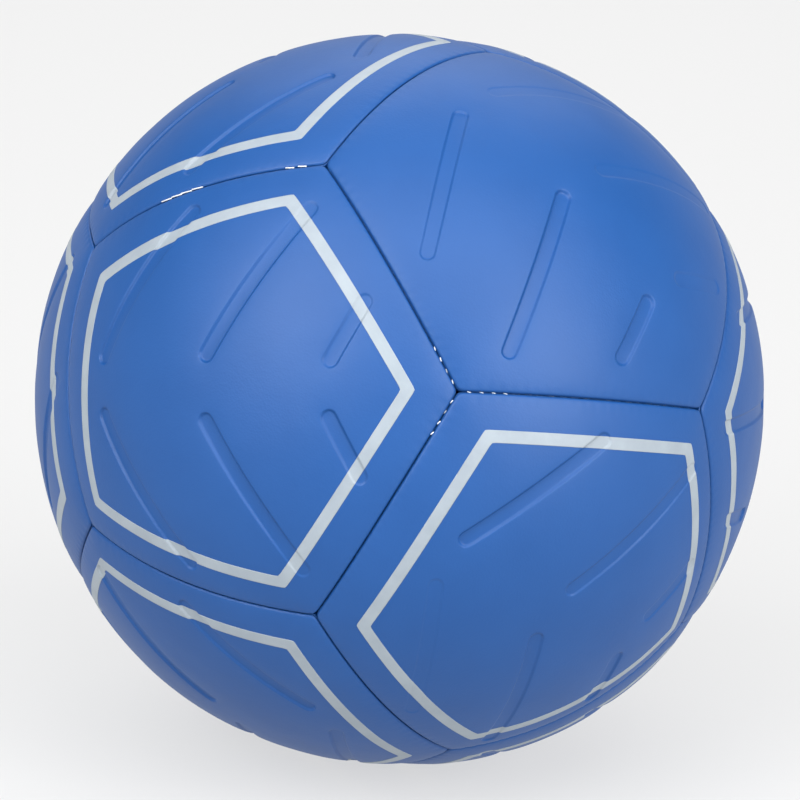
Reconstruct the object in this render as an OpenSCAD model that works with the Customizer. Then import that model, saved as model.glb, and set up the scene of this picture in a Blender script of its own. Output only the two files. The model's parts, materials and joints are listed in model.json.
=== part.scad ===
/* [Ball] */
// Girth of the blown-up ball, measured round its widest line
girth = 550; // [460:5:600]
// Radius of the flat patch that the ball's own weight presses on the floor
rest_patch_r = 9.3; // [6:0.1:11]

/* [Cover] */
// Thickness of the soft outer skin
cover_t = 1.2; // [1:0.1:2]
// Width of the pressed grip grooves
groove_w = 3.5; // [2:0.1:5]
// Depth of the pressed grip grooves
groove_depth = 0.7; // [0.2:0.05:0.9]

/* [Seams] */
// Gap between the turned-in margins of two neighbouring panels
seam_gap = 0.3; // [0.2:0.05:0.6]
// Radius of the shoulder where the skin turns down into a seam
shoulder_r = 2; // [1.2:0.1:3]
// Diameter of the sewing thread
thread_d = 0.8; // [0.5:0.05:1.2]

/* [Padding] */
// Thickness of the foam under the skin
foam_t = 2.8; // [1.5:0.1:4]
// Thickness of the woven lining under the foam
lining_t = 0.9; // [0.5:0.1:1.5]
// Thickness of the glue line between two layers
glue_t = 0.1; // [0.05:0.01:0.2]

/* [Printed outlines] */
// Distance from the seam to the printed outline, along the skin
outline_margin = 7.5; // [4:0.1:12]
// Width of the printed outline
outline_w = 2.8; // [1.5:0.1:5]
// Thickness of the printed film
film_t = 0.15; // [0.1:0.01:0.3]

/* [Bladder] */
// Wall of the rubber bladder
bladder_t = 0.9; // [0.6:0.1:1.5]
// Room between the bladder and the lining
bladder_clearance = 0.2; // [0.1:0.05:0.4]

/* [Valve] */
// Radius of the hole through the cover at the valve
valve_hole_r = 4.3; // [4.1:0.1:5]
// Radius of the rubber seat that stands in that hole
seat_r = 4; // [3.7:0.1:4.2]
// Depth of the seat's end below the ball's surface
seat_recess = 0.8; // [0.4:0.1:1.2]
// Length of the seat, from that end to the one inside the bladder
seat_length = 16; // [12:0.5:20]
// Radius of the seat's flange inside the bladder
seat_flange_r = 9; // [7:0.5:12]
// Thickness of the seat's flange
seat_flange_t = 1.4; // [0.8:0.1:2]
// Radius of the plug's stem
plug_r = 2.4; // [1.8:0.1:2.6]
// Radius of the plug's head
plug_head_r = 3.2; // [2.8:0.1:3.5]
// Thickness of the plug's head
plug_head_t = 0.9; // [0.6:0.1:1.2]
// Length of the plug's solid end, below the needle's channel
plug_tip = 2; // [1:0.5:4]
// Radius of the channel that takes the inflating needle
needle_r = 1; // [0.7:0.05:1.2]
// Length of that channel
needle_depth = 11; // [8:0.5:12]
// Radius of the patch that holds the seat on the bladder
patch_r = 14; // [11:0.5:18]
// Room round the valve's rubber pieces
valve_fit = 0.1; // [0.05:0.01:0.15]

/* [Hidden] */
$fn = 144;
PANELS = 12;
HALF = 6;
SIDES = 5;

// The panel that the ball rests on, the one with a bare front and the one with the valve
REST_PANEL = 2;
PLAIN_PANEL = 5;
VALVE_PANEL = 10;

// Angles of a regular body with twelve five-sided faces
panel_tilt = acos(1 / sqrt(5));
side_tilt = panel_tilt / 2;
seam_angle = acos(sqrt(5) / 3);
side_angle = 360 / SIDES;
first_ring_angle = -90;

ball_r = girth / (2 * PI);
// How far a cutting shape runs past what it cuts
over = 2;

// Depths of the layers below the ball's surface
foam_out = cover_t + glue_t;
foam_in = foam_out + foam_t;
lining_out = foam_in + glue_t;
lining_in = lining_out + lining_t;
bladder_out = lining_in + bladder_clearance;
bladder_in = bladder_out + bladder_t;
rest_h = sqrt(pow(ball_r, 2) - pow(rest_patch_r, 2));

// Small angle at which a shoulder leaves the ball's surface
shoulder_crease = 8;

// The groove pattern: three pairs that open from the middle line towards one corner. Places
// are shares of the ball's radius, on the plane that touches the panel's middle
groove_start_shares = [[-0.377, 0.073], [-0.022, 0.077], [0.328, 0.077]];
groove_reach_shares = [0.488, 0.519, 0.195];
groove_spread = 61.5;
// Corner that each panel's pattern points at, in fifths of a turn
groove_turns = [4, 0, 2, 4, 4, 4, 0, 4, 0, 2, 0, 2];

// The thread lies just under the closed end of the shoulders
thread_room = 0.05;
thread_depth = shoulder_r + thread_d / 2;

outline_out_tilt = side_tilt - skin_angle(outline_margin);
outline_in_tilt = outline_out_tilt - skin_angle(outline_w);
film_room = 0.05;

// The valve's heights are measured along its axis from the ball's centre
seat_end = ball_r - seat_recess;
plug_recess = 0.1;
plug_end = seat_end - plug_recess;
plug_length = needle_depth + plug_tip;
plug_bevel = 0.6;
patch_room = 0.3;

function panel_node(layer, i) = str(layer, i < 10 ? "_0" : "_", i);
function has_outline(i) = i != PLAIN_PANEL && i != VALVE_PANEL;
function place_in_half(i) = (i - 1) % HALF;
function unit(v) = v / norm(v);
// Angle at the ball's centre under a length along its skin
function skin_angle(length) = length / ball_r * 180 / PI;
// Sides whose seam a panel sews, so that each of the ball's seams is sewn once
function sewn_sides(i) = place_in_half(i) == 0 ? [0 : SIDES - 1] : i <= HALF ? [1, 2, 3] : [1];

// From the ball's frame to a panel's own: +Z out through its middle, +X towards one side
module at_panel(i) {
    place = place_in_half(i);
    round_x = place == 0 ? 0 : first_ring_angle + side_angle * (place - 1) - 90;
    lean = place == 0 ? 90 : 90 - panel_tilt;
    rotate([0, i > HALF ? 180 : 0, 0])
        rotate([round_x, 0, 0])
            rotate([0, lean, 0])
                children();
}

// From a panel's frame to one of its seams: +X out through its middle, +Z into the panel
module at_seam(side) {
    rotate([0, side_tilt - 90, side_angle * side])
        children();
}

// The space under the flat patch, as a layer at a depth sees it
module below_rest(depth) {
    translate([-ball_r, -ball_r, depth - rest_h - ball_r])
        cube([2 * ball_r, 2 * ball_r, ball_r]);
}

// The ball's form at a depth below its surface, flat where it rests if the panel reaches there
module ball_form(i, depth) {
    difference() {
        at_panel(i)
            rotate([0, 90, 0])
                sphere(r = ball_r - depth);
        if (i == REST_PANEL)
            below_rest(depth);
    }
}

// All that lies beyond five planes that lean out from a panel's middle, each drawn in by inset
module beyond_sides(tilt, inset) {
    reach = ball_r + over;
    for (side = [0 : SIDES - 1])
        rotate([0, tilt, side_angle * side])
            translate([-inset, -reach, -reach])
                cube(2 * reach);
}

// A panel's share of the ball down from one depth, with its sides inset from the seams
module panel_block(i, depth, tilt, inset) {
    difference() {
        ball_form(i, depth);
        at_panel(i)
            beyond_sides(tilt, inset);
    }
}

// A layer of a panel, between two depths
module panel_layer(i, depth_out, depth_in, inset) {
    difference() {
        panel_block(i, depth_out, side_tilt, inset);
        ball_form(i, depth_in);
    }
}

// Sweeps a profile along a seam, and by a length past both of its corners
module along_seam(past) {
    sweep = seam_angle + 2 * skin_angle(past);
    rotate([0, 0, -sweep / 2])
        rotate_extrude(angle = sweep)
            children();
}

// What the rounded shoulder leaves out beside one seam
module shoulder_cut() {
    rise = seam_gap / 2 + shoulder_r;
    run = sqrt(pow(ball_r - shoulder_r * cos(shoulder_crease), 2) - pow(rise, 2));
    along_seam(shoulder_r)
        difference() {
            translate([run, 0])
                square([shoulder_r + over, rise]);
            translate([run, rise])
                circle(r = shoulder_r);
        }
}

// The thread's run along one seam, wider by a room and past the corners by a length
module thread_run(room, past) {
    along_seam(past)
        translate([ball_r - thread_depth, 0])
            circle(r = thread_d / 2 + room);
}

// A straight slot with round ends, centred
module slot(length, width) {
    square([length, width], center = true);
    for (end = [-1, 1])
        translate([end * length / 2, 0])
            circle(d = width);
}

// Turns to a frame whose +Z points out along one vector and whose +X runs along another
module facing(out, along) {
    across = cross(out, along);
    multmatrix([
        [along.x, across.x, out.x, 0],
        [along.y, across.y, out.y, 0],
        [along.z, across.z, out.z, 0],
        [0, 0, 0, 1]
    ])
        children();
}

// One groove of the pattern as a solid slot through the ball's surface, wider by a margin
module groove_slot(pair, hand, margin) {
    start = groove_start_shares[pair];
    reach = groove_reach_shares[pair];
    run = reach * [cos(groove_spread), sin(groove_spread)];
    near = unit([start.x, hand * start.y, 1]);
    far = unit([start.x + run.x, hand * (start.y + run.y), 1]);
    facing(unit(near + far), unit(far - near))
        translate([0, 0, ball_r / 2])
            linear_extrude(ball_r)
                slot(ball_r * norm(far - near), groove_w + 2 * margin);
}

// The six grooves of a panel, wider and deeper by a margin
module grooves(i, margin) {
    difference() {
        at_panel(i)
            rotate([0, 0, side_angle * (groove_turns[i - 1] + 1 / 2)])
                for (pair = [0 : len(groove_start_shares) - 1], hand = [-1, 1])
                    groove_slot(pair, hand, margin);
        ball_form(i, groove_depth + margin);
    }
}

// The band of the printed outline, from a depth below the grooved surface outwards
module outline_band(i, depth, room) {
    margin = skin_angle(room);
    difference() {
        at_panel(i)
            difference() {
                sphere(r = ball_r + over);
                beyond_sides(outline_out_tilt + margin, 0);
            }
        panel_block(i, -2 * over, outline_in_tilt - margin, 0);
        difference() {
            panel_block(i, depth, side_tilt, 0);
            grooves(i, depth);
        }
    }
}

module cover_panel(i) {
    color([0.20, 0.41, 0.74])
        difference() {
            panel_layer(i, 0, lining_in, seam_gap / 2);
            panel_block(i, cover_t, side_tilt, seam_gap / 2 + cover_t);
            grooves(i, 0);
            at_panel(i)
                for (side = [0 : SIDES - 1])
                    at_seam(side) {
                        shoulder_cut();
                        thread_run(thread_room, thread_d);
                    }
            if (has_outline(i))
                outline_band(i, film_t + film_room, film_room);
            if (i == VALVE_PANEL)
                valve_hole(valve_hole_r);
        }
}

module foam_pad(i) {
    color([0.86, 0.84, 0.78])
        difference() {
            panel_layer(i, foam_out, foam_in, seam_gap / 2 + cover_t + glue_t);
            if (i == VALVE_PANEL)
                valve_hole(valve_hole_r);
        }
}

module lining(i) {
    color([0.93, 0.92, 0.88])
        difference() {
            panel_layer(i, lining_out, lining_in, seam_gap / 2 + cover_t + glue_t);
            if (i == VALVE_PANEL)
                valve_hole(patch_r + patch_room);
        }
}

module printed_outline(i) {
    color([0.90, 0.92, 0.95])
        difference() {
            intersection() {
                panel_block(i, 0, outline_out_tilt, 0);
                outline_band(i, film_t, 0);
            }
            grooves(i, 0);
        }
}

module seam_thread() {
    color([0.84, 0.86, 0.88])
        for (i = [1 : PANELS], side = sewn_sides(i))
            at_panel(i)
                at_seam(side)
                    thread_run(0, -thread_d);
}

// A round hole along the valve's axis, out through one side of the ball
module valve_hole(r) {
    at_panel(VALVE_PANEL)
        translate([0, 0, ball_r / 2])
            cylinder(r = r, h = ball_r);
}

// The part of a layer that lies within a radius of the valve's axis
module valve_disc(depth_out, depth_in, r) {
    intersection() {
        difference() {
            ball_form(VALVE_PANEL, depth_out);
            ball_form(VALVE_PANEL, depth_in);
        }
        valve_hole(r);
    }
}

module bladder() {
    color([0.13, 0.13, 0.14])
        difference() {
            sphere(r = ball_r - bladder_out);
            below_rest(bladder_out);
            difference() {
                sphere(r = ball_r - bladder_in);
                below_rest(bladder_in);
            }
            valve_hole(seat_r + valve_fit);
        }
}

module valve_patch() {
    color([0.20, 0.20, 0.21])
        difference() {
            valve_disc(lining_out, lining_in, patch_r);
            valve_hole(seat_r + valve_fit);
        }
}

module valve_seat() {
    flange_out = bladder_in + valve_fit;
    head_room = plug_recess + plug_head_t + valve_fit;
    color([0.16, 0.16, 0.17])
        difference() {
            union() {
                at_panel(VALVE_PANEL)
                    translate([0, 0, seat_end - seat_length])
                        cylinder(r = seat_r, h = seat_length);
                valve_disc(flange_out, flange_out + seat_flange_t, seat_flange_r);
            }
            valve_hole(plug_r + valve_fit);
            at_panel(VALVE_PANEL)
                translate([0, 0, seat_end - head_room])
                    cylinder(r = plug_head_r + valve_fit, h = head_room + over);
        }
}

module valve_plug() {
    color([0.10, 0.10, 0.11])
        at_panel(VALVE_PANEL)
            translate([0, 0, plug_end])
                mirror([0, 0, 1])
                    difference() {
                        union() {
                            cylinder(r = plug_head_r, h = plug_head_t);
                            cylinder(r = plug_r, h = plug_length - plug_bevel);
                            translate([0, 0, plug_length - plug_bevel])
                                cylinder(r1 = plug_r, r2 = plug_r - plug_bevel, h = plug_bevel);
                        }
                        translate([0, 0, -over])
                            cylinder(r = needle_r, h = needle_depth + over);
                    }
}

for (i = [1 : PANELS]) {
    cover_panel(i);
    foam_pad(i);
    lining(i);
    if (has_outline(i))
        printed_outline(i);
}
seam_thread();
bladder();
valve_patch();
valve_seat();
valve_plug();
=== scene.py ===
"""Looks of the sewn handball: skins, pads, linings, printed outlines, stitches, materials, studio."""
import itertools
import json
import math

import bpy
import numpy as np
from mathutils import Matrix
from mathutils.geometry import delaunay_2d_cdt


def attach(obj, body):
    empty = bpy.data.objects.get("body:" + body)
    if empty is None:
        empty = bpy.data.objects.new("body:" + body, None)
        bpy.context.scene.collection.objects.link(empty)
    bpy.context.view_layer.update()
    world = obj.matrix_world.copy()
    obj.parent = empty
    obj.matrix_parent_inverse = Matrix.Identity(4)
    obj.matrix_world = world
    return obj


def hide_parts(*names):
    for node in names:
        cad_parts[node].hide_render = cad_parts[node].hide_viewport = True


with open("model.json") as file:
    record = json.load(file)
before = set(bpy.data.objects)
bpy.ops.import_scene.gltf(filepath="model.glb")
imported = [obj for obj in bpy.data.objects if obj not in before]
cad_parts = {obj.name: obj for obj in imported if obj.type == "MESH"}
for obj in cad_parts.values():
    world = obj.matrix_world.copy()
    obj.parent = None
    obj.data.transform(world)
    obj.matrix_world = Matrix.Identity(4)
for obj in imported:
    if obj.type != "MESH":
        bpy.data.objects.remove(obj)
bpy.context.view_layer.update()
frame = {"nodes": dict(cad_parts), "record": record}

# Sizes in millimetres, angles in degrees, the same as in the part's source
MM = 0.001
BALL_R = 550 / (2 * math.pi)
SIDE_TILT = 31.7175
PANEL_TILT = 63.4349
SIDES = 5
FIFTH = 360 / SIDES
# Angle along a seam from corner to corner
SEAM_SPAN = 41.81
PANELS = range(1, 13)
PLAIN_PANEL, VALVE_PANEL = 5, 10
SEAM_HALF = 0.15
SKIN_T = 1.2
FOAM_OUT = 1.3
FOAM_IN = 4.1
LINING_OUT = 4.2
LINING_IN = 5.1
GROOVE_STARTS = ((-0.377, 0.073), (-0.022, 0.077), (0.328, 0.077))
GROOVE_REACHES = (0.488, 0.519, 0.195)
GROOVE_SPREAD = 61.5
GROOVE_TURNS = (4, 0, 2, 4, 4, 4, 0, 4, 0, 2, 0, 2)
GROOVE_HALF = 1.75
OUTLINE_MARGIN = 7.5
OUTLINE_W = 2.8

mounts = {m["name"]: m for m in frame["record"]["mounts"]}
REST_Z = mounts["rest_patch"]["pos_m"][2] / MM
VALVE_AXIS = np.array(mounts["needle_bore"]["axis"])
VALVE_HOLE = 4.3

# By panel: how much each pair of grooves fades outwards, and how deep each groove is pressed,
# set from the photo. Panels without an entry take the usual values
GROOVE_FADES = {5: (0.1, 0, 0), 6: (0.3, 0.1, 0), 8: (0, 0, 0), 11: (0, 0, 0),
                12: (0, 0.5, 0.3)}
GROOVE_STRENGTHS = {5: (0.7, 0.15, 1.1, 0.25, 0.9, 0.3), 6: (0.25, 1.0, 0.65, 0.5, 0.7, 0.4),
                    8: (0.9,) * 6, 11: (0.8,) * 6, 12: (0.85, 0.9, 0.9, 1.0, 0.9, 0.7)}
USUAL_FADES = (0.2, 0.2, 0.2)
USUAL_STRENGTHS = (0.85,) * 6
# Where along a groove its fading starts, as a share, and how much all of them thin out
FADE_START_SHARE = 0.6
THINNING = 0.12
# How far inside its edge a groove's wall ends, and the wall's width
WALL_END, WALL_WIDTH = 0.35, 0.67
GROOVE_FLOOR = 0.1
GROOVE_RIM, GROOVE_RIM_REACH = 0.22, 1.8
# Distance that stands for a place out of a groove's reach, and the reach of its relief
FAR, RELIEF_REACH = 99, 20

# Shape of the soft skin
SHOULDER = 0.55
CORNER_ROUND = 0.4
FULLNESS = 0.25
GROOVE_DROP = 0.62
# Drops towards the seams, each with its depth and how far it reaches, and for the pucker also
# the distance from the seam at which it is strongest
SEAM_ROLL, SEAM_ROLL_REACH = 0.42, 1.8
CROWN, CROWN_REACH = 0.6, 12
PUCKER, PUCKER_PLACE, PUCKER_REACH = 0.05, 0.9, 0.8
# Cosine of the angle from a panel's middle to its side
SIDE_COS = 0.85
RIPPLE_WAVES = 9
# Length and height of the long and the short ripples
LONG_RIPPLE, SHORT_RIPPLE = (26, 0.045), (9, 0.012)

# Spacing of the meshes
RING_POINTS = 450
PRINT_POINTS = 300
GROOVE_SPACING = 1.3
SKIN_FILL, UNDER_FILL, PAD_FILL = 2.0, 6, 4
FILL_GAP, HOLE_GAP = 0.9, 1
ROW_RATIO = 0.866

# Stitches
STITCH_PITCH = 2.8
STITCH_DEPTH = 2.5
STITCH_HALF = 0.75
STITCH_SLANT = 0.12
THREAD_T, THREAD_SIDES = 0.32, 8
STITCH_SHIFT, STITCH_RISE = (-0.12, 0.12), (0, 0.4)
STITCH_SINK = (-0.2, 0.25)
# Stitches this near a seam's end are left out, and threads stay this far off the floor
SEAM_END_GAP = 0.8
THREAD_FLOOR_GAP = 0.8
# Loose stretches longer than this rise unevenly
LONG_LOOSE = 6


def unit(v):
    v = np.asarray(v, float)
    return v / np.linalg.norm(v, axis=-1, keepdims=True)


def smooth(t):
    t = np.clip(t, 0, 1)
    return t * t * (3 - 2 * t)


def turn(axis, degrees):
    return np.array(Matrix.Rotation(math.radians(degrees), 3, axis))


def panel_axes(i):
    """Columns are the panel's own axes in the ball's frame: +Z out, +X to the middle of a side."""
    place = (i - 1) % 6
    around = 0 if place == 0 else FIFTH * (place - 1) - 180
    lean = 90 if place == 0 else 90 - PANEL_TILT
    return turn("Y", 180 if i > 6 else 0) @ turn("X", around) @ turn("Y", lean)


def pattern_axes(i):
    """The panel's axes turned so that +X points to the corner that the grooves open from."""
    return panel_axes(i) @ turn("Z", FIFTH * (GROOVE_TURNS[i - 1] + 0.5))


def touching(*panels):
    """Whether these panels all lie side by side."""
    axes = [panel_axes(i)[:, 2] for i in panels]
    return min(a @ b for a, b in itertools.combinations(axes, 2)) > 0


# Sides lie half a fifth of a turn from the corners in the pattern's own plane
SIDE_ANGLES = np.radians(FIFTH / 2 + FIFTH * np.arange(SIDES))
TILT = math.radians(SIDE_TILT)
SIDE_NORMALS = np.column_stack([
    -np.cos(TILT) * np.cos(SIDE_ANGLES), -np.cos(TILT) * np.sin(SIDE_ANGLES),
    np.full(SIDES, np.sin(TILT))])


def from_plane(uv):
    """Directions from places in the flat plane that touches the ball at a panel's middle."""
    return unit(np.column_stack([uv, np.full(len(uv), BALL_R)]))


def seam_distances(p):
    return BALL_R * np.arcsin(np.clip(p @ SIDE_NORMALS.T, -1, 1)) - SEAM_HALF


def edge_distance(p):
    """Distance from a panel's edge along the skin, with the corners rounded."""
    s = seam_distances(p)
    least = s.min(1)
    return least - CORNER_ROUND * np.log(
        np.exp(-(s - least[:, None]) / CORNER_ROUND).sum(1))


def level_ring(angles, level, distance=edge_distance):
    """Places in the flat plane at one distance from the panel's edge, one for each angle."""
    way = np.column_stack([np.cos(angles), np.sin(angles)])
    low, high = np.zeros(len(angles)), np.full(len(angles), BALL_R)
    for _ in range(40):
        mid = (low + high) / 2
        inside = distance(from_plane(way * mid[:, None])) > level
        low, high = np.where(inside, mid, low), np.where(inside, high, mid)
    return way * low[:, None]


def even_angles(count, level=0, distance=edge_distance, samples=5001):
    """Angles that share a closed line out evenly, the same on each of its five sides."""
    fine = np.linspace(0, 2 * math.pi, samples)
    edge = level_ring(fine, level, distance)
    run = np.concatenate([[0], np.cumsum(np.linalg.norm(np.diff(edge, axis=0), axis=1))])
    return np.interp(np.arange(count) / count * run[-1], run, fine)


# The view, as its right, its up and the way back to the camera. Another program fitted these
# values to the photo
CAMERA_RIGHT = unit([0.99854, 0.04202, 0.03395])
CAMERA_UP = unit([-0.04466, 0.28849, 0.95644])
CAMERA_BACK = np.cross(CAMERA_RIGHT, CAMERA_UP)
CAMERA_SPOT = CAMERA_BACK * 1035.5 + CAMERA_RIGHT * 0.144 - CAMERA_UP * 0.072
CAMERA_LENS, CAMERA_SENSOR = 194.1, 36
VIEW_SCALE = 800 * CAMERA_LENS / CAMERA_SENSOR

# Panels are cut a little off their pressed pattern: its shift, right and up in the view
GROOVE_SHIFTS = {5: (2.0, 0.9), 6: (0.6, -2.6)}

# The print is a little off too: shift of its five corners in the pattern's plane. Another
# program fitted this table to the photo, which a script in this library shouldn't hold
PRINT_SHIFTS = {
    1: ((-1.6, 1.2), (0, 0), (0, 0), (-0.5, -1.5), (-0.6, 1.5)),
    6: ((2.4, 0.4), (1.6, -0.4), (2.6, 0), (2, 0.1), (-0.4, 1.1)),
    7: ((0.1, 0), (0, 0), (0.4, 0), (2.5, 0.7), (-0.8, -0.2)),
    8: ((0.1, 0.1), (-2.3, 0.2), (1.7, 0.4), (-0.3, 0.3), (0, 0)),
    11: ((1, -0.7), (0, 0), (0.7, -0.1), (0.8, -0.2), (0.8, -1.2)),
    12: ((-1.5, 0.1), (-2.5, -1.5), (2.9, -3.7), (-1.2, 0.9), (-3, -0.1))}


def on_view(x, y):
    """The direction in which the view, 800 pixels wide, shows a place on the ball."""
    way = unit((x - 400) / VIEW_SCALE * CAMERA_RIGHT + (400 - y) / VIEW_SCALE * CAMERA_UP
               - CAMERA_BACK)
    ahead = -CAMERA_SPOT @ way
    reach = ahead - math.sqrt(ahead ** 2 - CAMERA_SPOT @ CAMERA_SPOT + BALL_R ** 2)
    return unit(CAMERA_SPOT + reach * way)


def in_pattern(i, right, up):
    """A small shift in the view as one in the flat plane of a panel's pattern."""
    axes = pattern_axes(i)
    back = -(right * CAMERA_RIGHT + up * CAMERA_UP) @ axes[:, 2] / (CAMERA_BACK @ axes[:, 2])
    return (axes.T @ (right * CAMERA_RIGHT + up * CAMERA_UP + back * CAMERA_BACK))[:2]


# The grip grooves: three pairs of straight runs
def groove_frames(i):
    made = []
    away = GROOVE_SPREAD * math.pi / 180
    shift = in_pattern(i, *GROOVE_SHIFTS[i]) if i in GROOVE_SHIFTS else (0, 0)
    for (x, y), reach in zip(GROOVE_STARTS, GROOVE_REACHES):
        for hand in (-1, 1):
            ends = np.array([[x, hand * y], [x + reach * math.cos(away),
                                             hand * (y + reach * math.sin(away))]]) * BALL_R
            near, far = from_plane(ends + shift)
            out, along = unit(near + far), unit(far - near)
            half = BALL_R * np.linalg.norm(far - near) / 2
            made.append((out, along, np.cross(out, along), half))
    return made


GROOVES = {i: groove_frames(i) for i in PANELS}


def groove_place(groove, p):
    """Distance from a groove's middle line, and the place along it from its near end."""
    out, along, across, half = groove
    a, b = BALL_R * (p @ along) / (p @ out), BALL_R * (p @ across) / (p @ out)
    past = np.maximum(np.abs(a) - half, 0)
    return np.where(p @ out > 0.5, np.hypot(past, b), FAR), a + half


def groove_ring(groove, offset):
    """A closed line round a groove at an offset from its middle line, in the flat plane."""
    out, along, across, half = groove
    steps = max(2, round(2 * half / GROOVE_SPACING))
    bends = max(4, round(math.pi * offset / GROOVE_SPACING) + 3)
    run = np.linspace(-half, half, steps, endpoint=False)
    bend = np.linspace(-math.pi / 2, math.pi / 2, bends, endpoint=False)
    a = np.concatenate([run, half + offset * np.cos(bend), -run, -half - offset * np.cos(bend)])
    b = np.concatenate([np.full(steps, -offset), offset * np.sin(bend),
                        np.full(steps, offset), -offset * np.sin(bend)])
    p = out + (a[:, None] * along + b[:, None] * across) / BALL_R
    return p[:, :2] / p[:, 2:] * BALL_R


GROOVE_OFFSETS = [GROOVE_HALF + d for d in
                  (1.8, 1.2, 0.8, 0.5, 0.32, 0.18, 0.04, -0.1, -0.24, -0.4, -0.65, -1, -1.4)]
EDGE_LEVELS = (0, 0.03, 0.11, 0.25, 0.45, 0.7, 1.0, 1.4, 2.0)


def hex_fill(spacing):
    """Evenly spread places over the flat plane."""
    rows = int(BALL_R / (spacing * ROW_RATIO)) + 1
    y, x = np.mgrid[-rows:rows + 1, -2 * rows:2 * rows + 1].astype(float)
    x = (x + (y % 2) / 2) * spacing
    return np.column_stack([x.ravel(), y.ravel() * spacing * ROW_RATIO])


def circle(radius):
    """Places on a circle round a panel's middle."""
    around = np.linspace(0, 2 * math.pi, 64, endpoint=False)
    return np.column_stack([np.cos(around), np.sin(around)]) * radius


class Weave:
    """Points and closed lines that one flat triangulation joins."""

    def __init__(self):
        self.points, self.edges = [], []

    def ring(self, points):
        start = len(self.points)
        self.points += [tuple(p) for p in points]
        count = len(points)
        self.edges += [(start + k, start + (k + 1) % count) for k in range(count)]
        return list(range(start, start + count))

    def fill(self, points):
        self.points += [tuple(p) for p in points]

    def triangles(self):
        """Joined places, triangles, and where each given point went."""
        places, _, faces, given, _, _ = delaunay_2d_cdt(
            [tuple(map(float, p)) for p in self.points], self.edges, [], 0, 1e-5)
        went = np.zeros(len(self.points), int)
        for new, old in enumerate(given):
            for o in old:
                went[o] = new
        return np.array([tuple(p) for p in places]), np.array(faces), went


def only_used(places, faces, ring_ids):
    """Drops places that no triangle uses."""
    used = np.unique(np.concatenate([faces.ravel(), *ring_ids]))
    new = np.full(len(places), -1)
    new[used] = np.arange(len(used))
    return places[used], new[faces], [new[r] for r in ring_ids]


def without_flat(faces, ends, count):
    """Leaves out the triangles that have all three places on one edge ring."""
    for end in ends:
        on = np.zeros(count, bool)
        on[end] = True
        faces = faces[~on[faces].all(1)]
    return faces


ANGLES = even_angles(RING_POINTS)


def skin_top(i, hole=None):
    """The outer side of a skin in the flat plane: places, triangles, edge rings."""
    weave = Weave()
    rings = [weave.ring(level_ring(ANGLES, level)) for level in EDGE_LEVELS]
    for groove in GROOVES[i]:
        for offset in GROOVE_OFFSETS:
            ring = groove_ring(groove, offset)
            if hole is None or np.hypot(*ring.T).min() > hole[-1] + HOLE_GAP / 2:
                weave.ring(ring)
    if hole is not None:
        holes = [weave.ring(circle(r)) for r in hole]
    fill = hex_fill(SKIN_FILL)
    p = from_plane(fill)
    keep = edge_distance(p) > EDGE_LEVELS[-1] + FILL_GAP
    for groove in GROOVES[i]:
        keep &= groove_place(groove, p)[0] > GROOVE_OFFSETS[0] + FILL_GAP
    if hole is not None:
        keep &= np.hypot(*fill.T) > hole[-1] + HOLE_GAP
    weave.fill(fill[keep])
    places, faces, went = weave.triangles()
    outer = went[rings[0]]
    ends = [outer] if hole is None else [outer, went[holes[0]]]
    faces = without_flat(faces, ends, len(places))
    middle = places[faces].mean(1)
    if hole is not None:
        faces = faces[np.hypot(*middle.T) > hole[0] - 0.05]
    return only_used(places, faces, ends)


def flat_fill(level, spacing, hole=None):
    """A coarse triangulation inside one edge ring: places, triangles, rings."""
    weave = Weave()
    ends = [weave.ring(level_ring(ANGLES, level))]
    if hole is not None:
        ends.append(weave.ring(circle(hole)))
    fill = hex_fill(spacing)
    keep = edge_distance(from_plane(fill)) > level + spacing / 2
    if hole is not None:
        keep &= np.hypot(*fill.T) > hole + spacing / 2
    weave.fill(fill[keep])
    places, faces, went = weave.triangles()
    ends = [went[e] for e in ends]
    return only_used(places, without_flat(faces, ends, len(places)), ends)


# The skin's relief, as depths below the ball's surface
def ripple(p, seed, size, height):
    """Soft unevenness made of a few waves, fixed by its seed."""
    draw = np.random.default_rng(seed)
    total = np.zeros(len(p))
    for _ in range(RIPPLE_WAVES):
        way = unit(draw.normal(size=3))
        total += np.sin(p @ way * BALL_R * 2 * math.pi / (size * draw.uniform(0.7, 1.4))
                        + draw.uniform(0, 2 * math.pi))
    return total * height / math.sqrt(RIPPLE_WAVES)


def groove_depth(p, i):
    """Depth of the pressed grooves: firm walls, soft rims, fading towards the outer end."""
    drop = np.zeros(len(p))
    fades = GROOVE_FADES.get(i, USUAL_FADES)
    strengths = GROOVE_STRENGTHS.get(i, USUAL_STRENGTHS)
    for k, groove in enumerate(GROOVES[i]):
        away, along = groove_place(groove, p)
        q = away - GROOVE_HALF
        part = along / (2 * groove[3])
        late = smooth((part - FADE_START_SHARE) / (1 - FADE_START_SHARE))
        fade = 1 - THINNING * smooth(part) - fades[k // 2] * late
        fade = fade * strengths[k]
        wall = 1 - smooth((q + WALL_END) / WALL_WIDTH)
        floor = GROOVE_FLOOR * np.clip(1 - (away / GROOVE_HALF) ** 2, 0, 1)
        rim = GROOVE_RIM * np.exp(-np.maximum(q, 0) / GROOVE_RIM_REACH)
        near = away < RELIEF_REACH
        drop = np.maximum(drop, fade * (GROOVE_DROP * wall + floor + rim) * near)
    return drop


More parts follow.
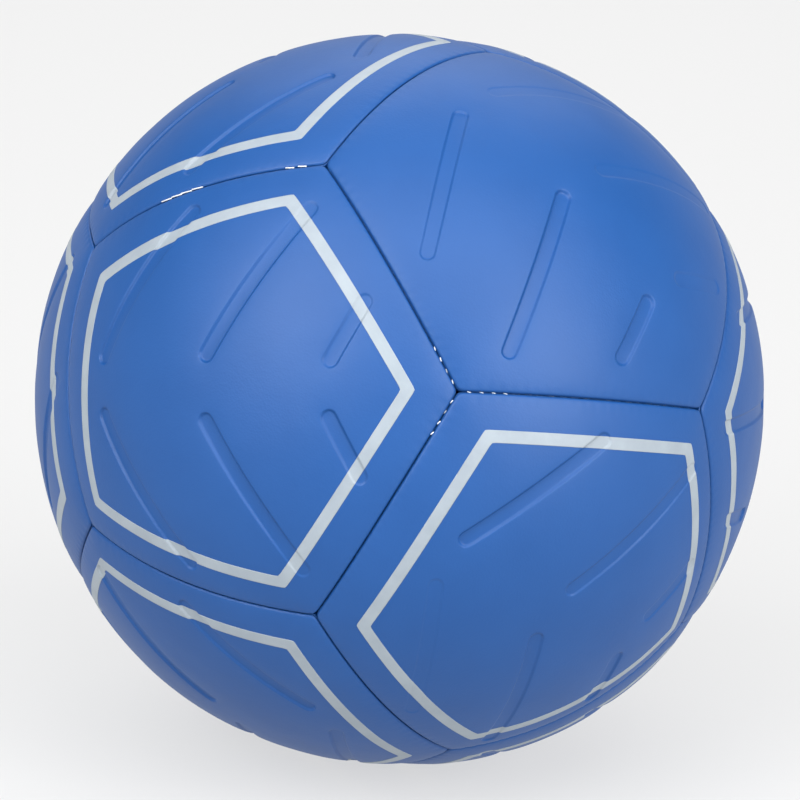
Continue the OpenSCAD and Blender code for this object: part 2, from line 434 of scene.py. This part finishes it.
def skin_depth(p, i):
    """Depth of the skin's outer side in a panel's pattern frame."""
    s = np.maximum(edge_distance(p), 0)
    inward = np.clip(SHOULDER - s, 0, None)
    shoulder = SHOULDER - np.sqrt(np.maximum(SHOULDER ** 2 - inward ** 2, 0))
    puff = (SEAM_ROLL * np.exp(-s / SEAM_ROLL_REACH) + CROWN * np.exp(-s / CROWN_REACH)
            - FULLNESS)
    sides = seam_distances(p)
    nearest = sides.argmin(1)
    lengthwise = np.stack([-np.sin(SIDE_ANGLES), np.cos(SIDE_ANGLES)], 1)[nearest]
    run = BALL_R * np.arctan2((p[:, :2] * lengthwise).sum(1), SIDE_COS)
    pucker = (PUCKER * np.cos(2 * math.pi * run / STITCH_PITCH)
              * np.exp(-np.abs(s - PUCKER_PLACE) / PUCKER_REACH))
    waves = ripple(p, 40 + i, *LONG_RIPPLE) + ripple(p, 80 + i, *SHORT_RIPPLE)
    return shoulder + puff + pucker + waves * smooth(s / 4) + groove_depth(p, i)


# Form of the whole ball: small shifts of the seams' corners and a little out of round
# Shift of each corner in the view, right and up in millimetres, by the three panels that meet,
# and of one seam's middle. Another program fitted both tables to the photo, which a script in
# this library shouldn't hold
CORNER_SHIFTS = {
    (5, 6, 12): (-0.8, 0.7), (5, 8, 12): (-0.7, 0.7), (6, 11, 12): (1.6, -0.6),
    (7, 11, 12): (0.3, -2.1), (7, 8, 12): (-2.1, 0.5), (1, 5, 6): (1.6, -0.2),
    (4, 5, 8): (2.1, 1.3), (2, 6, 11): (0, -0.7), (1, 4, 5): (2.4, -1.2)}
SEAM_SHIFTS = {(5, 8): (-0.2, 1.7)}
SHIFT_REACH = 0.55


def shift_weights():
    """Weights that move each named place by its shift and leave the other corners alone."""
    shifts = {three: CORNER_SHIFTS.get(three, (0, 0))
              for three in itertools.combinations(PANELS, 3) if touching(*three)}
    shifts.update(SEAM_SHIFTS)
    corners, wanted = [], []
    for panels, (right, up) in shifts.items():
        corner = unit(sum(panel_axes(i)[:, 2] for i in panels))
        move = (right * CAMERA_RIGHT + up * CAMERA_UP) / BALL_R
        facing = corner @ CAMERA_BACK
        if facing > 0.1:
            move = move - CAMERA_BACK * (move @ corner) / facing
        corners.append(corner)
        wanted.append(move)
    corners = np.array(corners)
    gap = ((corners[:, None] - corners[None]) ** 2).sum(2)
    return corners, np.linalg.solve(np.exp(-gap / (2 * SHIFT_REACH ** 2)), np.array(wanted))


CORNERS, WEIGHTS = shift_weights()


# Angles in radians over which the shifts set in away from the valve and the rest patch. At the
# valve they begin that share of its angle further out
VALVE_CALM, VALVE_CALM_START, REST_CALM = 0.5, 0.4, 0.3


def calm(p):
    """Zero at the valve and under the ball, where other parts have to fit, and else one."""
    from_valve = np.arccos(np.clip(p @ VALVE_AXIS, -1, 1))
    from_rest = np.arccos(np.clip(-p[:, 2], -1, 1))
    return smooth(from_valve / VALVE_CALM - VALVE_CALM_START) * smooth(from_rest / REST_CALM)


def drift(p):
    """The directions p after the small shifts of the seams."""
    gap = ((p[:, None] - CORNERS[None]) ** 2).sum(2)
    move = np.exp(-gap / (2 * SHIFT_REACH ** 2)) @ WEIGHTS
    return unit(p + move * calm(p)[:, None])


# Waves round the view's axis that make the ball a little out of round, in millimetres. Another
# program fitted this table to the photo, which a script in this library shouldn't hold
ROUND_WAVES = {2: (-0.22, -0.165), 3: (-0.074, 0.043), 4: (-0.27, 0.103), 5: (0.077, 0.072)}


def swell(p):
    angle = np.arctan2(p @ CAMERA_UP, p @ CAMERA_RIGHT)
    side = 1 - (p @ CAMERA_BACK) ** 2
    total = np.zeros(len(p))
    for n, (a, b) in ROUND_WAVES.items():
        total += a * np.cos(n * angle) + b * np.sin(n * angle)
    return total * side ** 2 * calm(p)


def placed(p, depth, i, floor_gap=0.0):
    """Places in the ball's frame from a panel's directions and depths."""
    world = drift(p @ pattern_axes(i).T)
    out = world * (BALL_R - (depth - swell(world)))[:, None]
    out[:, 2] = np.maximum(out[:, 2], REST_Z + floor_gap)
    return out


# Meshes
def add_piece(name, verts, faces, material, slot, replaces):
    mesh = bpy.data.meshes.new(name)
    mesh.from_pydata((verts * MM).tolist(), [], [tuple(int(k) for k in f) for f in faces])
    mesh.validate()
    mesh.polygons.foreach_set("use_smooth", [True] * len(mesh.polygons))
    mesh.materials.append(material)
    obj = bpy.data.objects.new(name, mesh)
    bpy.context.scene.collection.objects.link(obj)
    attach(obj, "root")
    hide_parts(*replaces)
    return obj


class Shell:
    """Collects places and faces of one closed piece."""

    def __init__(self):
        self.verts, self.faces, self.count = [], [], 0

    def add(self, verts):
        ids = np.arange(self.count, self.count + len(verts))
        self.verts.append(verts)
        self.count += len(verts)
        return ids

    def patch(self, verts, faces, outward=True):
        ids = self.add(verts)
        self.faces += [tuple(ids[k] for k in (f if outward else f[::-1])) for f in faces]
        return ids

    def band(self, first, second):
        """Quads from one closed ring to the next, both counter-clockwise seen from outside."""
        for k in range(len(first)):
            n = (k + 1) % len(first)
            self.faces.append((first[n], first[k], second[k], second[n]))

    def piece(self, name, *details):
        return add_piece(name, np.concatenate(self.verts), self.faces, *details)


HOLE_RINGS = tuple(VALVE_HOLE + step for step in (0, 0.12, 0.4, 0.8, 1.6))
UNDER_LEVEL = 1.35
UNDER = flat_fill(UNDER_LEVEL, UNDER_FILL)
VALVE_UNDER = flat_fill(UNDER_LEVEL, UNDER_FILL, VALVE_HOLE)
PAD_LEVEL = 1.5
PAD_INSET = 0.8
PAD = flat_fill(PAD_LEVEL + PAD_INSET, PAD_FILL)
VALVE_PAD = flat_fill(PAD_LEVEL + PAD_INSET, PAD_FILL, VALVE_HOLE)
# Sides of a skin from its outer edge down, round the turned-in margin and up under the skin, as
# distances from the seam and depths
SKIN_SIDE = ((-0.12, 1.75), (-0.12, 4.3), (0.05, 5.0), (0.3, 5.1), (1.05, 5.1), (1.3, 5.0),
             (UNDER_LEVEL, 4.3), (UNDER_LEVEL, 2.6))
SKIN_FLOOR_GAP = 0.03
# How a pad's or lining's faces sink and rise towards its edge, and over what distance
LAYER_SINK, LAYER_RISE, LAYER_SOFT = 0.15, 0.05, 1.2
# How far its sides start below its outer face, and how much shorter they are than it is thick
SIDE_START, SIDE_SHORTER = 0.1, 0.15
# Sides of a pad or lining, as distances inside its level and shares of its thickness
LAYER_SIDE = ((0.25, 0.12), (0.0, 0.4), (0.0, 0.6), (0.25, 0.88))
# The skin dips this much, and over this width, at the edge of the valve's hole
HOLE_DIP = 0.35


def ring_dirs(level):
    return from_plane(level_ring(ANGLES, level))


def build_skin(i, material):
    """A skin: grooved outer side, shoulders, edges turned in to the seams, plain inner side."""
    valve = i == VALVE_PANEL
    places, faces, ends = skin_top(i, HOLE_RINGS if valve else None)
    p = from_plane(places)
    shell = Shell()
    depth = skin_depth(p, i)
    if valve:
        from_hole = np.hypot(*places.T) - VALVE_HOLE
        depth = depth + HOLE_DIP * np.exp(-np.maximum(from_hole, 0) / HOLE_DIP)
    top = shell.patch(placed(p, depth, i, SKIN_FLOOR_GAP), faces)
    edge = top[ends[0]]
    for level, deep in SKIN_SIDE:
        dirs = ring_dirs(level)
        ring = shell.add(placed(dirs, np.full(len(dirs), deep), i))
        shell.band(ring, edge)
        edge = ring
    places, faces, under_ends = VALVE_UNDER if valve else UNDER
    dirs = from_plane(places)
    under = shell.patch(placed(dirs, np.full(len(dirs), SKIN_T), i, SKIN_T), faces, False)
    shell.band(under[under_ends[0]], edge)
    if valve:
        shell.band(top[ends[1]], under[under_ends[1]])
    return shell.piece(f"skin_{i:02d}", material, "cover", [f"cover_panel_{i:02d}"])


def build_layer(i, name, material, slot, stands_for, outer, inner):
    """A foam pad or a lining: a closed layer under the skin with soft edges."""
    valve = i == VALVE_PANEL
    places, faces, ends = VALVE_PAD if valve else PAD
    p = from_plane(places)
    shell = Shell()
    middle = (outer + inner) / 2
    soft = np.exp(-np.maximum(edge_distance(p) - PAD_LEVEL, 0) / LAYER_SOFT)
    top = shell.patch(placed(p, outer + LAYER_SINK * soft, i, outer), faces)
    low = shell.patch(placed(p, inner - LAYER_RISE * soft, i, inner), faces, False)
    edge = top[ends[0]]
    for inset, share in LAYER_SIDE:
        dirs = ring_dirs(PAD_LEVEL + inset)
        deep = outer + SIDE_START + (inner - outer - SIDE_SHORTER) * share
        ring = shell.add(placed(dirs, np.full(len(dirs), deep), i, middle))
        shell.band(ring, edge)
        edge = ring
    shell.band(low[ends[0]], edge)
    if valve:
        shell.band(top[ends[1]], low[ends[1]])
    return shell.piece(f"{name}_{i:02d}", material, slot, [f"{stands_for}_{i:02d}"])


# The printed outlines follow the skin, and each lies a little off its panel's middle
PRINT_ROUND = 0.15
PRINT_HALF = 0.06
PRINT_FLOOR_GAP = 0.05
PRINT_TRIM = 0.1
RING_SHARES = (0, 0.05, 0.25, 0.5, 0.75, 0.95, 1)


def print_distance(p):
    """Distance from the nearest seam, with nearly sharp corners as the print has."""
    s = seam_distances(p) + SEAM_HALF
    least = s.min(1)
    return least - PRINT_ROUND * np.log(np.exp(-(s - least[:, None]) / PRINT_ROUND).sum(1))


def print_ring(angles, level, i):
    """A closed line of the print, with its corners shifted."""
    corners = np.array(PRINT_SHIFTS.get(i, ((0, 0),) * SIDES))
    fifth = math.radians(FIFTH)
    side = (angles // fifth).astype(int) % SIDES
    part = np.tan(angles % fifth - fifth / 2) / math.tan(fifth / 2)
    part = ((part + 1) / 2)[:, None]
    shift = corners[side] * (1 - part) + corners[(side + 1) % SIDES] * part
    return level_ring(angles, level, print_distance) + shift


PRINT_ANGLES = even_angles(PRINT_POINTS, OUTLINE_MARGIN, print_distance, 2001)


def within(points, ring):
    """Which places lie inside a closed line."""
    ahead = np.roll(ring, -1, axis=0)
    x, y = points[:, :1], points[:, 1:]
    spans = (ring[:, 1] > y) != (ahead[:, 1] > y)
    rise = np.where(ring[:, 1] == ahead[:, 1], 1, ahead[:, 1] - ring[:, 1])
    cut = ring[:, 0] + (y - ring[:, 1]) * (ahead[:, 0] - ring[:, 0]) / rise
    return (spans & (x < cut)).sum(1) % 2 == 1


def on_print(points, trim, i):
    """Which places lie on a panel's print, but for a trim along both of its edges."""
    outer = print_ring(PRINT_ANGLES, OUTLINE_MARGIN + trim, i)
    inner = print_ring(PRINT_ANGLES, OUTLINE_MARGIN + OUTLINE_W - trim, i)
    return within(points, outer) & ~within(points, inner)


def open_edges(faces):
    """Edges that only one triangle has, each in that triangle's own direction."""
    seen, counts = {}, {}
    for f in faces:
        for a, b in ((f[0], f[1]), (f[1], f[2]), (f[2], f[0])):
            key = (min(a, b), max(a, b))
            counts[key] = counts.get(key, 0) + 1
            seen[key] = (a, b)
    return [edge for key, edge in seen.items() if counts[key] == 1]


def build_print(i, material):
    """A printed outline: a thin film on the skin that dips into the grooves with it."""
    weave = Weave()
    for share in RING_SHARES:
        weave.ring(print_ring(PRINT_ANGLES, OUTLINE_MARGIN + OUTLINE_W * share, i))
    for groove in GROOVES[i]:
        for offset in GROOVE_OFFSETS:
            ring = groove_ring(groove, offset)
            inside = on_print(ring, PRINT_TRIM, i)
            start = len(weave.points)
            weave.points += [tuple(q) for q in ring]
            for k in range(len(ring)):
                n = (k + 1) % len(ring)
                if inside[k] or inside[n]:
                    weave.edges.append((start + k, start + n))
    places, faces, went = weave.triangles()
    band = on_print(places[faces].mean(1), 0, i)
    places, faces, _ = only_used(places, faces[band], [])
    p = from_plane(places)
    depth = skin_depth(p, i)
    shell = Shell()
    top = shell.patch(placed(p, depth - PRINT_HALF, i), faces)
    low = shell.patch(placed(p, depth + PRINT_HALF, i, PRINT_FLOOR_GAP), faces, False)
    for a, b in open_edges(faces):
        shell.faces.append((top[b], top[a], low[a], low[b]))
    return shell.piece(f"outline_{i:02d}", material, "print", [f"printed_outline_{i:02d}"])


# Stitches: one short thread for each stitch, crossing the seam at a slant
def capsule(start, end):
    """Places and faces of a thread from start to end with round ends."""
    sides = THREAD_SIDES
    along = unit(end - start)
    across = unit(np.cross(along, [0.31, 0.67, 0.68]))
    other = np.cross(along, across)
    around = np.linspace(0, 2 * math.pi, sides, endpoint=False)
    loop = np.cos(around)[:, None] * across + np.sin(around)[:, None] * other
    r = THREAD_T / 2
    rings = []
    for place, back, width in ((start, 0.8, 0.55), (start, 0.0, 1), (end, 0.0, 1),
                               (end, -0.8, 0.55)):
        rings.append(place - along * back * r + loop * r * width)
    verts = np.concatenate([[start - along * r], *rings, [end + along * r]])
    faces = [(0, 1 + (k + 1) % sides, 1 + k) for k in range(sides)]
    for ring in range(3):
        base = 1 + ring * sides
        faces += [(base + k, base + (k + 1) % sides, base + sides + (k + 1) % sides,
                   base + sides + k) for k in range(sides)]
    last, base = len(verts) - 1, 1 + 3 * sides
    faces += [(last, base + k, base + (k + 1) % sides) for k in range(sides)]
    return verts, faces


# Where threads lie nearer the surface: place in the view, depth, how far along, half a stitch
LOOSE_STITCHES = (((456, 391), 1.15, 12, 0.35), ((178, 198), 0.75, 5.4, 1.35),
                  ((300, 166), 0.8, 3, 0.9))


def seam_place(axes, at, aside=0.0):
    """The direction at a distance along a seam from its middle, and a little to one side."""
    middle, along, across = axes
    turned = at / BALL_R
    return unit(middle * math.cos(turned) + along * math.sin(turned) + across * aside / BALL_R)


def build_stitches(material):
    """All the stitches as one piece, in the drifted seams."""
    draw = np.random.default_rng(7)
    shell = Shell()
    half = math.radians(SEAM_SPAN) / 2 * BALL_R
    count = int(2 * half / STITCH_PITCH)
    for pair in itertools.combinations(PANELS, 2):
        if not touching(*pair):
            continue
        first, second = (panel_axes(i)[:, 2] for i in pair)
        middle, across = unit(first + second), unit(second - first)
        axes = middle, np.cross(middle, across), across
        for k in range(count):
            at = (k + 0.5 - count / 2) * STITCH_PITCH + draw.uniform(*STITCH_SHIFT)
            deep = STITCH_DEPTH + draw.uniform(*STITCH_SINK)
            rise = draw.uniform(*STITCH_RISE)
            here = drift(seam_place(axes, at)[None])[0]
            long = STITCH_HALF
            for (x, y), loose, length, wanted in LOOSE_STITCHES:
                if np.linalg.norm(here - on_view(x, y)) * BALL_R < length:
                    deep, long = loose + rise * (length > LONG_LOOSE), wanted
            ends = drift(np.array([seam_place(axes, at + way * long, way * STITCH_SLANT)
                                   for way in (-1, 1)]))
            pts = ends * (BALL_R - deep + swell(ends))[:, None]
            pts[:, 2] = np.maximum(pts[:, 2], REST_Z + THREAD_FLOOR_GAP)
            if half - abs(at) > SEAM_END_GAP:
                shell.patch(*capsule(pts[0], pts[1]))
    return shell.piece("stitches", material, "thread", ["seam_thread"])


# Materials
def new_material(name, color, roughness, specular):
    material = bpy.data.materials.new(name)
    material.use_nodes = True
    shader = material.node_tree.nodes["Principled BSDF"]
    shader.inputs["Base Color"].default_value = (*color, 1)
    shader.inputs["Roughness"].default_value = roughness
    shader.inputs["Specular IOR Level"].default_value = specular
    return material, material.node_tree, shader


def node(tree, kind, **values):
    made = tree.nodes.new(kind)
    for key, value in values.items():
        setattr(made, key, value)
    return made


def noise(tree, coords, scale, detail=4.0):
    made = node(tree, "ShaderNodeTexNoise")
    made.inputs["Scale"].default_value = scale
    made.inputs["Detail"].default_value = detail
    made.inputs["Roughness"].default_value = 0.55
    tree.links.new(coords, made.inputs["Vector"])
    return made.outputs["Fac"]


def mottled(tree, shader, coords, first, second, scale):
    """Mixes two near colours by soft noise."""
    ramp = node(tree, "ShaderNodeValToRGB")
    for element, place, color in zip(ramp.color_ramp.elements, (0.35, 0.65), (first, second)):
        element.position = place
        element.color = (*color, 1)
    tree.links.new(noise(tree, coords, scale), ramp.inputs["Fac"])
    tree.links.new(ramp.outputs["Color"], shader.inputs["Base Color"])


def bumped(tree, shader, heights):
    """Chains bumps from (height socket, strength, distance in metres)."""
    before = None
    for socket, strength, distance in heights:
        bump = node(tree, "ShaderNodeBump")
        bump.inputs["Strength"].default_value = strength
        bump.inputs["Distance"].default_value = distance
        tree.links.new(socket, bump.inputs["Height"])
        if before is not None:
            tree.links.new(before, bump.inputs["Normal"])
        before = bump.outputs["Normal"]
    tree.links.new(before, shader.inputs["Normal"])


def skin_material():
    material, tree, shader = new_material("blue_skin", (0.004, 0.0635, 0.243), 0.5, 0.42)
    coords = node(tree, "ShaderNodeTexCoord").outputs["Object"]
    mottled(tree, shader, coords, (0.0033, 0.061, 0.236), (0.0047, 0.066, 0.25), 55)
    grain = node(tree, "ShaderNodeTexVoronoi", feature="F1")
    grain.inputs["Scale"].default_value = 1900
    tree.links.new(coords, grain.inputs["Vector"])
    bumped(tree, shader, [(noise(tree, coords, 90, 3), 0.2, 0.0005),
                          (grain.outputs["Distance"], 0.08, 0.0002)])
    return material


def print_material():
    material, tree, shader = new_material("outline_ink", (0.275, 0.318, 0.36), 0.5, 0.42)
    coords = node(tree, "ShaderNodeTexCoord").outputs["Object"]
    mottled(tree, shader, coords, (0.26, 0.302, 0.344), (0.29, 0.334, 0.376), 160)
    bumped(tree, shader, [(noise(tree, coords, 700, 3), 0.15, 0.0002)])
    return material


def woven_material(name, first, second, scale):
    """A plain weave from crossed waves."""
    material, tree, shader = new_material(name, first, 0.85, 0.25)
    coords = node(tree, "ShaderNodeTexCoord").outputs["Object"]
    mottled(tree, shader, coords, first, second, scale / 6)
    waves = []
    for axis in ("X", "Y"):
        wave = node(tree, "ShaderNodeTexWave", bands_direction=axis)
        wave.inputs["Scale"].default_value = scale
        tree.links.new(coords, wave.inputs["Vector"])
        waves.append((wave.outputs["Fac"], 0.3, 0.0002))
    bumped(tree, shader, waves)
    return material


def cellular_material(name, first, second, scale, roughness):
    """Foam or rubber with a fine uneven surface."""
    material, tree, shader = new_material(name, first, roughness, 0.3)
    coords = node(tree, "ShaderNodeTexCoord").outputs["Object"]
    mottled(tree, shader, coords, first, second, scale / 8)
    bumped(tree, shader, [(noise(tree, coords, scale, 5), 0.4, 0.0003)])
    return material


SKIN = skin_material()
INK = print_material()
FOAM = cellular_material("foam", (0.71, 0.67, 0.57), (0.78, 0.74, 0.64), 1200, 0.9)
LINING = woven_material("lining_cloth", (0.82, 0.80, 0.74), (0.88, 0.86, 0.80), 700)
THREAD = woven_material("thread", (0.72, 0.74, 0.78), (0.82, 0.83, 0.86), 2500)
RUBBER = cellular_material("bladder_rubber", (0.015, 0.015, 0.017), (0.022, 0.022, 0.024), 300, 0.6)
VALVE = cellular_material("valve_rubber", (0.020, 0.020, 0.022), (0.030, 0.030, 0.033), 500, 0.5)

for i in PANELS:
    skin = build_skin(i, SKIN)
    pad = build_layer(i, "pad", FOAM, "foam", "foam_pad", FOAM_OUT, FOAM_IN)
    lining = build_layer(i, "cloth", LINING, "lining", "lining", LINING_OUT, LINING_IN)
    if i not in (PLAIN_PANEL, VALVE_PANEL):
        build_print(i, INK)
build_stitches(THREAD)

for name, material in (("bladder", RUBBER), ("valve_patch", RUBBER), ("valve_seat", VALVE),
                       ("valve_plug", VALVE)):
    mesh = frame["nodes"][name].data
    mesh.materials.clear()
    mesh.materials.append(material)

# Studio
scene = bpy.context.scene
scene.view_settings.view_transform = "Standard"
world = bpy.data.worlds.new("studio")
scene.world = world
world.use_nodes = True
world.node_tree.nodes["Background"].inputs["Color"].default_value = (1, 1, 1, 1)
around = node(world.node_tree, "ShaderNodeTexCoord").outputs["Generated"]
apart = node(world.node_tree, "ShaderNodeSeparateXYZ")
world.node_tree.links.new(around, apart.inputs[0])
glow = node(world.node_tree, "ShaderNodeMapRange", interpolation_type="SMOOTHSTEP")
for key, value in (("From Min", 0.12), ("From Max", 0.45), ("To Min", 0.8), ("To Max", 0.08)):
    glow.inputs[key].default_value = value
world.node_tree.links.new(apart.outputs["Z"], glow.inputs["Value"])
world.node_tree.links.new(glow.outputs[0], world.node_tree.nodes["Background"].inputs["Strength"])

floor_mesh = bpy.data.meshes.new("floor")
half, z = 6.0, REST_Z * MM
floor_mesh.from_pydata([(-half, -half, z), (half, -half, z), (half, half, z), (-half, half, z)],
                       [], [(0, 1, 2, 3)])
floor = bpy.data.objects.new("floor", floor_mesh)
scene.collection.objects.link(floor)
paper, _, shader = new_material("paper", (0.2, 0.2, 0.2), 0.9, 0.1)
shader.inputs["Emission Color"].default_value = (1, 1, 1, 1)
shader.inputs["Emission Strength"].default_value = 0.61
floor_mesh.materials.append(paper)


def mirrored(pixel_x, pixel_y):
    """The way to a light that the ball mirrors at one place of the view."""
    normal = on_view(pixel_x, pixel_y)
    return 2 * (normal @ CAMERA_BACK) * normal - CAMERA_BACK


def stand(obj, axes, spot):
    """Places an object by its own axes, as columns, and its spot in metres."""
    rows = [[*row, at] for row, at in zip(axes.tolist(), spot.tolist())]
    obj.matrix_world = Matrix(rows + [[0, 0, 0, 1]])
    scene.collection.objects.link(obj)


def soft_box(name, way, distance, size, power, facing=None):
    """A round soft light out along a way, shining back at the ball or away from facing."""
    light = bpy.data.lights.new(name, "AREA")
    light.shape, light.size, light.energy = "DISK", size, power
    obj = bpy.data.objects.new(name, light)
    z_axis = unit(way if facing is None else facing)
    x_axis = unit(np.cross([0, 1, 0.01], z_axis))
    y_axis = np.cross(z_axis, x_axis)
    stand(obj, np.column_stack([x_axis, y_axis, z_axis]), unit(way) * distance)


soft_box("box_left", mirrored(296, 335), 1.4, 0.8, 11.4)
soft_box("box_right", mirrored(540, 375), 1.4, 0.8, 12.4)
soft_box("box_top", (0, -0.5, 1), 1.6, 1.4, 14.5)
soft_box("box_top_left", (-0.8, -0.5, 1), 1.6, 1.2, 9)
soft_box("box_top_right", (0.8, -0.5, 1), 1.6, 1.2, 11)
soft_box("box_back", (0, 1.1, 0.9), 1.42, 1.4, 10, (0, 0, 1))

camera = bpy.data.cameras.new("camera")
camera.lens, camera.sensor_width = CAMERA_LENS, CAMERA_SENSOR
camera.clip_start, camera.clip_end = 0.05, 50
camera_object = bpy.data.objects.new("camera", camera)
stand(camera_object, np.column_stack([CAMERA_RIGHT, CAMERA_UP, CAMERA_BACK]), CAMERA_SPOT * MM)
scene.camera = camera_object
